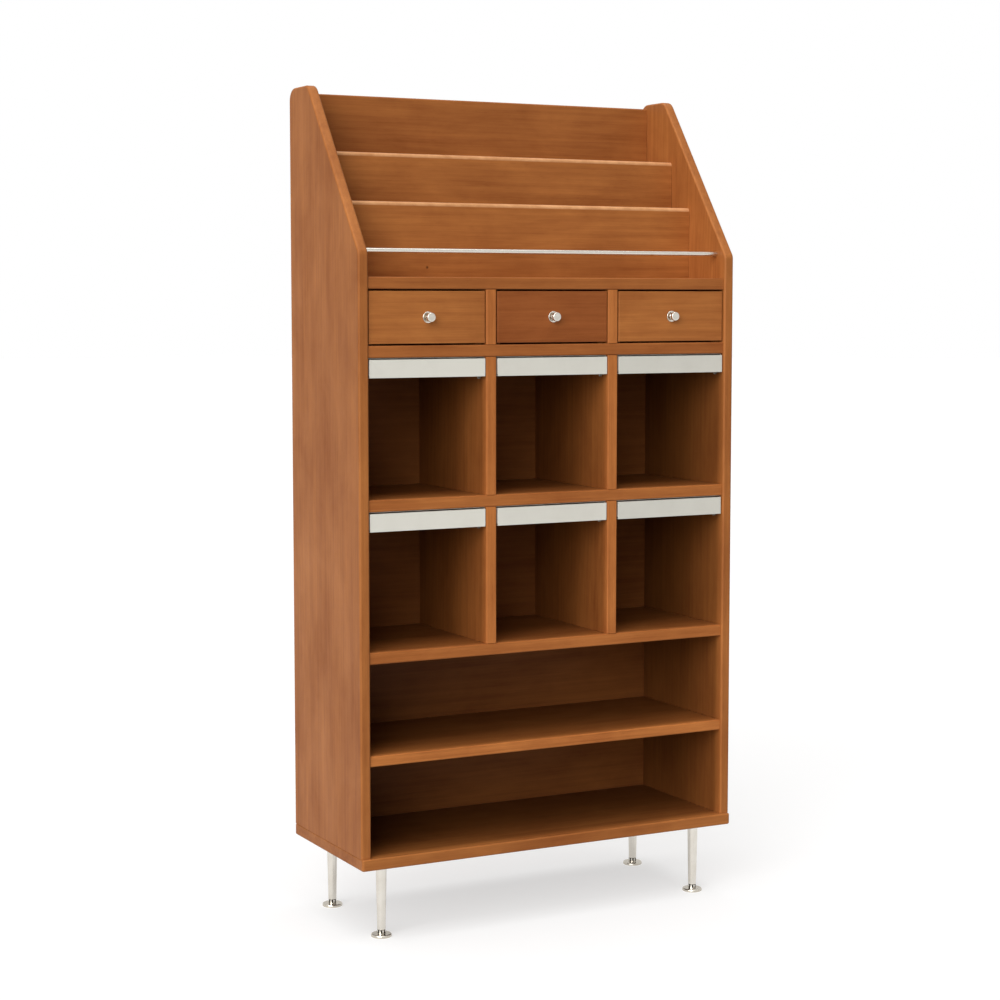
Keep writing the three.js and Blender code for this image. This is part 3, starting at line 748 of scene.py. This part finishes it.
def swept_board_tree():
    """A board swept along its length, its front and rear edges each with their own radius."""
    inputs = [
        ("Geometry", "Geometry", None),
        ("Length", "Float", 0.7),
        ("Width", "Float", 0.3),
        ("Thickness", "Float", 0.02),
        ("Front edge", "Float", 0.0025),
        ("Rear edge", "Float", 0.0),
        ("Edge steps", "Int", 6),
        ("Turn", "Rotation", None),
        ("Centre", "Vector", None),
        ("Finish", "Material", None),
    ]
    outputs = [("Geometry", "Geometry")]
    tree, given, result = new_group("Swept board", inputs, outputs, "GeometryNodeTree")
    tree.is_modifier = True

    outline = {"Width": given["Width"], "Height": given["Thickness"]}
    section = wired(tree, "GeometryNodeCurvePrimitiveQuadrilateral", outline, mode="RECTANGLE")
    across = separate(tree, wired(tree, "GeometryNodeInputPosition", {})[0])["X"]
    at_front = wired(
        tree, "FunctionNodeCompare", {0: across, 1: 0.0},
        data_type="FLOAT", operation="LESS_THAN",
    )
    choice = {
        "Switch": at_front[0],
        "False": given["Rear edge"],
        "True": given["Front edge"],
    }
    rounding = {
        "Curve": section[0],
        "Count": given["Edge steps"],
        "Radius": wired(tree, "GeometryNodeSwitch", choice, input_type="FLOAT")[0],
        "Limit Radius": True,
    }
    fillet = wired(tree, "GeometryNodeFilletCurve", rounding, mode="POLY")

    half = calculate(tree, "MULTIPLY", given["Length"], 0.5)
    ends = {
        "Start": wired(
            tree, "ShaderNodeCombineXYZ", {"Z": calculate(tree, "MULTIPLY", half, -1.0)}
        )[0],
        "End": wired(tree, "ShaderNodeCombineXYZ", {"Z": half})[0],
    }
    path = wired(tree, "GeometryNodeCurvePrimitiveLine", ends)
    curves = {"Curve": path[0], "Profile Curve": fillet[0], "Fill Caps": True}
    sweep = wired(tree, "GeometryNodeCurveToMesh", curves)
    joining = {"Geometry": sweep[0], "Distance": 1e-6}
    stand = {
        "Geometry": wired(tree, "GeometryNodeMergeByDistance", joining)[0],
        "Translation": given["Centre"],
        "Rotation": given["Turn"],
    }
    stood = wired(tree, "GeometryNodeTransform", stand)
    paint_and_end(tree, stood[0], given["Finish"], result["Geometry"])
    return tree


def grown(name, tree, values):
    """An object made by a Geometry Nodes tree from named input values, as a plain mesh."""
    piece = linked(name, bpy.data.meshes.new(name))
    modifier = piece.modifiers.new(tree.name, "NODES")
    modifier.node_group = tree
    identifiers = {
        item.name: item.identifier
        for item in tree.interface.items_tree
        if item.item_type == "SOCKET" and item.in_out == "INPUT"
    }
    for label, value in values.items():
        modifier[identifiers[label]] = value
    return made_plain(piece)


def swept_board(node, low, high, turn, front_edge, rear_edge, material, narrow=0.004):
    """Sweeps a wooden board between two corners. Faces less than narrow wide count as its edge."""
    tree = bpy.data.node_groups.get("Swept board") or swept_board_tree()
    size = Vector(high) - Vector(low)
    local = turn.transposed() @ size
    values = {
        "Length": abs(local.z),
        "Width": abs(local.x),
        "Thickness": abs(local.y),
        "Front edge": front_edge,
        "Rear edge": rear_edge,
        "Edge steps": 6,
        "Turn": turn.to_euler(),
        "Centre": (Vector(low) + Vector(high)) / 2.0,
        "Finish": material,
    }
    piece = grown(f"{node}_board", tree, values)
    finished(smoothed(piece, narrow), "cabinet", material, "cabinet_wood", node)


# ---------------------------------------------------------------- pieces

class CABINET_OT_side_panels(bpy.types.Operator):
    """Builds the two side panels with their sloping fronts and rounded edges"""

    bl_idname = "cabinet.side_panels"
    bl_label = "Side panels"

    def execute(self, context):
        # The left panel's edge marking takes in wider faces than the right's: a painted highlight
        # along its front, on the side the key light comes from.
        looks = {
            "left": ((0.31, 0.12, 0.37), 0.013),
            "right": ((1.73, 0.41, 0.18), 0.004),
        }
        for side, (shift, narrow) in looks.items():
            node = f"side_panel_{side}"
            panel = refined_copy(node, f"{node}_board", 0.0, narrow)
            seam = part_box(node)[0].z
            wood = stained_wood(
                f"{side} side panel", "z", shift, (1.0, 1.0), 0.017, joint=seam, edge_lightening=0.15
            )
            finished(panel, "cabinet", wood, "cabinet_wood", node)
        return {"FINISHED"}


class CABINET_OT_bottom_board(bpy.types.Operator):
    """Builds the bottom board, which carries the side panels and the legs"""

    bl_idname = "cabinet.bottom_board"
    bl_label = "Bottom board"

    def execute(self, context):
        board = refined_copy("bottom_board", "bottom_board_plank")
        wood = stained_wood("bottom board", "x", (0.4, 0.77, 0.21), (0.97, 1.0), edge_lightening=0.05)
        finished(board, "cabinet", wood, "cabinet_wood", "bottom_board")
        return {"FINISHED"}


class CABINET_OT_shelves(bpy.types.Operator):
    """Builds the five shelves between the side panels"""

    bl_idname = "cabinet.shelves"
    bl_label = "Shelves"

    def execute(self, context):
        tones = ((1.28, 1.0), (1.12, 1.02), (1.10, 1.02), (0.95, 1.06), (0.90, 1.06))
        for number, (node, tone) in enumerate(zip(SHELVES, tones)):
            low, high = between_panels(node)
            shift = (2.3 * number, 0.61 * number, 0.3)
            wood = stained_wood(node, "x", shift, tone)
            edge = wood_settings().board_edge
            swept_board(node, low, high, SHELF_TURN, edge, 0.0, wood)
        return {"FINISHED"}


class CABINET_OT_dividers(bpy.types.Operator):
    """Builds the dividers between the pigeonholes and between the drawers"""

    bl_idname = "cabinet.dividers"
    bl_label = "Dividers"

    def execute(self, context):
        # The narrow limit here takes in the dividers' whole front faces, which then take the paler
        # edge colour as a painted highlight.
        number, narrow = 0, 0.018
        for row, (floor, ceiling) in DIVIDER_ROWS.items():
            for side in ("left", "right"):
                node = f"{row}_{side}"
                low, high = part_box(node)
                low.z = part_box(floor)[1].z + PANEL_GAP
                high.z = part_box(ceiling)[0].z - PANEL_GAP
                number += 1
                shift = (0.9 * number, 0.37 * number, 0.11)
                wood = stained_wood(node, "z", shift, (1.25, 1.02))
                edge = wood_settings().board_edge
                swept_board(node, low, high, DIVIDER_TURN, edge, 0.0, wood, narrow)
        return {"FINISHED"}


class CABINET_OT_display_tiers(bpy.types.Operator):
    """Builds the two tier boards, their pocket floors and the back panel"""

    bl_idname = "cabinet.display_tiers"
    bl_label = "Display tiers and back"

    def execute(self, context):
        settings = wood_settings()
        knot = ((-0.2008, -0.0234, 1.2423), 0.0036)
        tier_edge, back_edge = settings.tier_edge, settings.back_edge
        # Painted highlight together with wear: the band along the tiers' tops that takes the paler
        # colour.
        lit_and_worn_reach = 0.0068
        uprights = (
            ("tier_board_front", tier_edge, (0.7, 0.33, 0.52), (1.02, 0.98), (knot,), lit_and_worn_reach),
            ("tier_board_rear", tier_edge, (3.1, 0.12, 0.74), (0.97, 1.0), (), lit_and_worn_reach),
            ("back_panel", back_edge, (5.4, 0.5, 0.05), (0.90, 1.02), (), None),
        )
        for node, edge, shift, tone, knots, reach in uprights:
            low, high = between_panels(node)
            lit_and_worn = None if reach is None else high.z - reach
            # Painted shade: the tiers and the back darken less with depth inside the cabinet.
            wood = stained_wood(
                node, "x", shift, tone, 0.02, knots,
                lit_and_worn_top=lit_and_worn, inside_shade_depth=0.62,
            )
            swept_board(node, low, high, UPRIGHT_TURN, edge, 0.0, wood)
        for number, node in enumerate(("tier_floor_front", "tier_floor_rear")):
            low, high = between_panels(node)
            shift = (7.0 + number, 0.2, 0.9)
            wood = stained_wood(node, "x", shift, (0.95, 1.0))
            hair = 0.0004
            swept_board(node, low, high, SHELF_TURN, hair, hair, wood)
        return {"FINISHED"}


class CABINET_OT_retaining_rail(bpy.types.Operator):
    """Builds the round metal rail across the front of the display deck"""

    bl_idname = "cabinet.retaining_rail"
    bl_label = "Retaining rail"

    def execute(self, context):
        low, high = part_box("retaining_rail")
        radius = (high.z - low.z) / 2.0
        round_end = 0.0006
        reach = high.x - low.x
        profile = [(0.0, 0.0)]
        profile += lower_edge(radius, 0.0, round_end)
        profile += upper_edge(radius, reach, round_end)
        profile.append((0.0, reach))
        start = Vector((low.x, (low.y + high.y) / 2.0, (low.z + high.z) / 2.0))
        rail = turned("retaining_rail_bar", profile, start, (1, 0, 0), 48)
        nickel = satin_nickel("rail", (4.0, 900.0, 900.0), 0.30)
        finished(rail, "cabinet", nickel, "satin_nickel", "retaining_rail")
        return {"FINISHED"}


class CABINET_OT_drawers(bpy.types.Operator):
    """Builds the three drawers with their boxes"""

    bl_idname = "cabinet.drawers"
    bl_label = "Drawers"

    def execute(self, context):
        looks = {
            "left": ((0.2, 0.9, 0.15), (1.03, 1.0), "cabinet_wood"),
            "centre": ((4.6, 0.25, 0.66), (0.78, 1.18), "dark_drawer_wood"),
            "right": ((8.3, 0.55, 0.41), (1.05, 1.0), "cabinet_wood"),
        }
        front_edge, wall_edge = 0.0003, 0.0006
        for bay, (shift, tone, slot) in looks.items():
            body = f"{bay}_drawer"
            node = f"{bay}_drawer_front"
            face = refined_copy(node, f"{node}_board", front_edge)
            wood = stained_wood(f"{bay} drawer front", "x", shift, tone, 0.02)
            finished(face, body, wood, slot, node)
            inner_tone = (1.05, 0.95)
            walls = {"side_left": "y", "side_right": "y", "back": "x", "bottom": "x"}
            for number, (part, along) in enumerate(walls.items()):
                node = f"{bay}_drawer_{part}"
                wall = refined_copy(node, f"{node}_board", wall_edge)
                place = (shift[0] + 0.7 * number, shift[1] + 0.21, shift[2])
                wood = stained_wood(node, along, place, inner_tone, 0.018, (), 0.05)
                finished(wall, body, wood, "cabinet_wood", node)
        return {"FINISHED"}


class CABINET_OT_knobs(bpy.types.Operator):
    """Builds the turned knobs of the drawers"""

    bl_idname = "cabinet.knobs"
    bl_label = "Knobs"

    def execute(self, context):
        base_radius, base_thickness = 0.0105, 0.0024
        neck_radius, blend = 0.0040, 0.0010
        cap_radius, cap_thickness, projection = 0.0084, 0.0065, 0.017
        screw_radius, head_radius, head_thickness = 0.0020, 0.0040, 0.0024
        cap_inner = projection - cap_thickness
        quarter_turn = (0.0, 0.5, 1.0, math.pi / 2)
        for bay in BAYS:
            node = f"{bay}_drawer_knob"
            low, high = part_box(node)
            tail = high.y - low.y - projection
            shank = -tail + head_thickness
            profile = [(0.0, -tail)]
            profile += lower_edge(head_radius, -tail, 0.0006, 3)
            profile += [(head_radius, shank), (screw_radius, shank), (screw_radius, 0.0)]
            profile += lower_edge(base_radius, 0.0, 0.0004, 3)
            profile += upper_edge(base_radius, base_thickness, 0.0008)
            for a in quarter_turn:
                inward, upward = 1.0 - math.sin(a), 1.0 - math.cos(a)
                profile.append((neck_radius + blend * inward, base_thickness + blend * upward))
            for a in quarter_turn:
                outward, downward = 1.0 - math.cos(a), 1.0 - math.sin(a)
                profile.append((neck_radius + blend * outward, cap_inner - blend * downward))
            profile += lower_edge(cap_radius, cap_inner, 0.0010)
            profile += upper_edge(cap_radius, projection, 0.0016, 80.0, 6)
            profile += [(cap_radius * 0.5, projection - 0.0001), (0.0, projection)]
            middle = (low + high) / 2.0
            centre = Vector((middle.x, low.y + projection, middle.z))
            knob = turned(f"{node}_turning", profile, centre, (0, -1, 0), 72)
            nickel = satin_nickel(f"{bay} knob", (400.0, 60.0, 400.0), 0.17)
            finished(knob, f"{bay}_drawer", nickel, "satin_nickel", node)
        return {"FINISHED"}


class CABINET_OT_trays(bpy.types.Operator):
    """Builds the sheet metal trays and the carriers they slide in"""

    bl_idname = "cabinet.trays"
    bl_label = "Trays"

    def execute(self, context):
        edge = metal_settings().sheet_edge
        narrow = 0.0009
        # Painted shade: the carriers' sheet is made dark to stand for the shade around the trays.
        shaded = 0.22
        for row in ("upper", "lower"):
            for bay in BAYS:
                node = f"{row}_{bay}_tray"
                tray = refined_copy(node, f"{node}_sheet", edge, narrow, 3)
                sheet = satin_sheet(f"{row} {bay} tray", TRAY_BRIGHTNESS[bay])
                finished(tray, node, sheet, "satin_sheet", node)
                carrier_node = f"{node}_carrier"
                carrier = refined_copy(carrier_node, f"{carrier_node}_sheet", edge, narrow, 2)
                sheet = satin_sheet(f"{row} {bay} carrier", shaded)
                finished(carrier, "cabinet", sheet, "satin_sheet", carrier_node)
        return {"FINISHED"}


def thread_tree():
    """Crests of a fine thread, repeated up a stem at a named pitch."""
    inputs = [
        ("Geometry", "Geometry", None),
        ("Stem radius", "Float", 0.004),
        ("Crest", "Float", 0.0003),
        ("Pitch", "Float", 0.00125),
        ("Crests", "Int", 16),
        ("Foot of thread", "Vector", None),
        ("Finish", "Material", None),
    ]
    outputs = [("Geometry", "Geometry")]
    tree, given, result = new_group("Thread crests", inputs, outputs, "GeometryNodeTree")
    tree.is_modifier = True
    inset = calculate(tree, "SUBTRACT", given["Stem radius"], given["Crest"])
    circles = []
    for radius, points in ((inset, 32), (given["Crest"], 6)):
        values = {"Radius": radius, "Resolution": points}
        circle = wired(tree, "GeometryNodeCurvePrimitiveCircle", values, mode="RADIUS")
        circles.append(circle[0])
    curves = {"Curve": circles[0], "Profile Curve": circles[1]}
    crest = wired(tree, "GeometryNodeCurveToMesh", curves)
    line = {
        "Count": given["Crests"],
        "Start Location": given["Foot of thread"],
        "Offset": wired(tree, "ShaderNodeCombineXYZ", {"Z": given["Pitch"]})[0],
    }
    spots = wired(tree, "GeometryNodeMeshLine", line, mode="OFFSET")
    placing = {"Points": spots[0], "Instance": crest[0]}
    copies = wired(tree, "GeometryNodeInstanceOnPoints", placing)
    paint_and_end(tree, copies[0], given["Finish"], result["Geometry"])
    return tree


class CABINET_OT_legs(bpy.types.Operator):
    """Builds the tapered legs and the levelling feet with their threads"""

    bl_idname = "cabinet.legs"
    bl_label = "Legs and feet"

    def execute(self, context):
        thread = bpy.data.node_groups.get("Thread crests") or thread_tree()
        pitch = metal_settings().thread_pitch
        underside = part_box("bottom_board")[0].z
        stem_radius, bottom_radius, neck_radius = 0.004, 0.0079, 0.0076
        bore_depth, play = 0.034, 0.0004
        bore_radius = stem_radius + play
        edge, stud_edge = 0.0010, 0.0006
        crest, crest_offset, run_in, run_out = 0.00035, 0.0002, 0.0012, 0.001
        for corner in CORNERS:
            leg_node, foot_node = f"leg_{corner}", f"foot_{corner}"
            low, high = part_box(leg_node)
            foot_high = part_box(foot_node)[1]
            middle = (low + high) / 2.0
            top_radius = (high.x - low.x) / 2.0
            top = underside - PANEL_GAP - low.z
            stud = high.z - low.z
            profile = [
                (0.0, bore_depth),
                (bore_radius, bore_depth),
                (bore_radius, play),
                (bore_radius + play, 0.0),
            ]
            profile += lower_edge(bottom_radius, 0.0, edge)
            profile += upper_edge(top_radius, top, edge)
            profile += [
                (stem_radius, top),
                (stem_radius, stud - stud_edge),
                (stem_radius - stud_edge, stud),
                (0.0, stud),
            ]
            seat = Vector((middle.x, middle.y, low.z))
            leg = turned(f"{leg_node}_turning", profile, seat, (0, 0, 1), 72, 0.002)
            nickel = satin_nickel(f"{corner} leg", (900.0, 900.0, 8.0), 0.24)
            finished(leg, "cabinet", nickel, "satin_nickel", leg_node)

            foot = refined_copy(foot_node, f"{foot_node}_disc", 0.0004, 0.0016, 3)
            slots = ((middle.x, middle.y, 0.0), neck_radius)
            nickel = satin_nickel(f"{corner} foot", (300.0, 300.0, 300.0), 0.24, slots)
            finished(foot, foot_node, nickel, "satin_nickel", foot_node)
            start = low.z + run_in
            threading = {
                "Stem radius": stem_radius + crest_offset,
                "Crest": crest,
                "Pitch": pitch,
                "Crests": int((foot_high.z - run_out - start) / pitch),
                "Foot of thread": Vector((middle.x, middle.y, start)),
                "Finish": nickel,
            }
            crests = grown(f"{foot_node}_thread", thread, threading)
            smoothed(crests, 0.0)
            finished(crests, foot_node, nickel, "satin_nickel")
        return {"FINISHED"}


# ---------------------------------------------------------------- stage

def aimed_light(name, strength, direction, angle):
    """A soft light that shines along a direction, as from a large screen."""
    lamp = bpy.data.lights.new(name, "SUN")
    lamp.energy = strength
    lamp.angle = math.radians(angle)
    holder = linked(name, lamp)
    holder.rotation_mode = "QUATERNION"
    holder.rotation_quaternion = Vector(direction).to_track_quat("-Z", "Y")


def pale_floor(colour):
    """The floor's material. Only the camera and the glossy pieces see it bright."""
    material = bpy.data.materials.new("Pale floor")
    material.use_nodes = True
    tree = material.node_tree
    position = new_node(tree, "ShaderNodeTexCoord").outputs["Object"]
    cloud = noise(tree, stretch(tree, position, (0.7, 0.7, 0.7)), 2.0)
    clouded = tuple(channel * 0.985 for channel in colour)
    bright = feed_all(tree, tree.nodes["Principled BSDF"], {
        "Base Color": blend_colours(tree, cloud, (*colour, 1.0), (*clouded, 1.0)),
        "Roughness": 0.9,
        "Specular IOR Level": 0.1,
        "Emission Color": (1.0, 0.995, 0.99, 1.0),
        "Emission Strength": 0.60,
    })
    dim = wired(tree, "ShaderNodeBsdfDiffuse", {"Color": (0.36, 0.36, 0.36, 1.0)})
    sight = wired(tree, "ShaderNodeLightPath", {})
    seen = calculate(tree, "MAXIMUM", sight["Is Camera Ray"], sight["Is Glossy Ray"])
    either = wired(tree, "ShaderNodeMixShader", {0: seen, 1: dim[0], 2: bright.outputs[0]})
    feed(tree, tree.nodes["Material Output"].inputs["Surface"], either[0])
    return material


def white_room(light, gleam):
    """A white world that lights the cabinet a little and shows more in its glossy pieces."""
    room = bpy.data.worlds.new("White room")
    room.use_nodes = True
    tree = room.node_tree
    tree.nodes.clear()
    seen = wired(tree, "ShaderNodeBackground", {"Color": (1.0, 1.0, 1.0, 1.0)})
    sight = wired(tree, "ShaderNodeLightPath", {})
    shining = wired(tree, "ShaderNodeBackground", {
        "Color": (1.0, 0.99, 0.97, 1.0),
        "Strength": spread(tree, sight["Is Glossy Ray"], 0.0, 1.0, light, gleam),
    })
    choice = {0: sight["Is Camera Ray"], 1: shining[0], 2: seen[0]}
    either = wired(tree, "ShaderNodeMixShader", choice)
    wired(tree, "ShaderNodeOutputWorld", {"Surface": either[0]})
    return room


class CABINET_OT_stage(bpy.types.Operator):
    """Builds the pale floor, the white room, the soft lights and the camera"""

    bl_idname = "cabinet.stage"
    bl_label = "Stage"

    def execute(self, context):
        settings = stage_settings()
        form = bmesh.new()
        bmesh.ops.create_circle(form, cap_ends=True, radius=40.0, segments=96)
        mesh = bpy.data.meshes.new("floor")
        form.to_mesh(mesh)
        form.free()
        floor = linked("floor", mesh)
        mesh.materials.append(pale_floor(settings.floor_colour))
        context.scene.world = white_room(settings.sky_strength, settings.gleam_strength)
        aimed_light("key_screen", settings.key_strength, (0.90, 0.82, -0.48), 50.0)
        aimed_light("top_screen", settings.top_strength, (0.08, 0.06, -1.0), 60.0)

        camera = bpy.data.cameras.new("camera")
        camera.lens = 78.05
        camera.sensor_width = 36.0
        camera.shift_y = -0.0089
        camera.clip_end = 200.0
        eye = linked("camera", camera)
        eye.location = (-1.9713, -3.7206, 1.1826)
        yaw, pitch = 0.4800, -0.08825
        ahead = Vector((
            math.sin(yaw) * math.cos(pitch),
            math.cos(yaw) * math.cos(pitch),
            math.sin(pitch),
        ))
        eye.rotation_mode = "QUATERNION"
        eye.rotation_quaternion = ahead.to_track_quat("-Z", "Y")
        context.scene.camera = eye
        context.scene.view_settings.view_transform = "Standard"
        return {"FINISHED"}


class CABINET_PT_maker(bpy.types.Panel):
    """The cabinet's pieces and settings"""

    bl_idname = "CABINET_PT_maker"
    bl_label = "Display cabinet"
    bl_space_type = "VIEW_3D"
    bl_region_type = "UI"
    bl_category = "Cabinet"

    def draw(self, context):
        column = self.layout.column()
        for settings in (wood_settings(), metal_settings(), stage_settings()):
            for name in settings.bl_rna.properties.keys():
                if name not in ("rna_type", "name"):
                    column.prop(settings, name)
        for operator in OPERATORS:
            column.operator(operator.bl_idname)


SETTINGS = {
    "cabinet_wood": WoodSettings,
    "cabinet_metal": MetalSettings,
    "cabinet_stage": StageSettings,
}
OPERATORS = (
    CABINET_OT_side_panels,
    CABINET_OT_bottom_board,
    CABINET_OT_shelves,
    CABINET_OT_dividers,
    CABINET_OT_display_tiers,
    CABINET_OT_retaining_rail,
    CABINET_OT_drawers,
    CABINET_OT_knobs,
    CABINET_OT_trays,
    CABINET_OT_legs,
    CABINET_OT_stage,
)


def register():
    for item in (*SETTINGS.values(), *OPERATORS, CABINET_PT_maker):
        bpy.utils.register_class(item)
    for name, settings in SETTINGS.items():
        setattr(bpy.types.Scene, name, bpy.props.PointerProperty(type=settings))


def unregister():
    for name in SETTINGS:
        delattr(bpy.types.Scene, name)
    for item in reversed((*SETTINGS.values(), *OPERATORS, CABINET_PT_maker)):
        bpy.utils.unregister_class(item)


def main():
    register()
    bpy.ops.cabinet.side_panels()
    bpy.ops.cabinet.bottom_board()
    bpy.ops.cabinet.shelves()
    bpy.ops.cabinet.dividers()
    bpy.ops.cabinet.display_tiers()
    bpy.ops.cabinet.retaining_rail()
    bpy.ops.cabinet.drawers()
    bpy.ops.cabinet.knobs()
    bpy.ops.cabinet.trays()
    bpy.ops.cabinet.legs()
    bpy.ops.cabinet.stage()


if __name__ == "__main__":
    main()
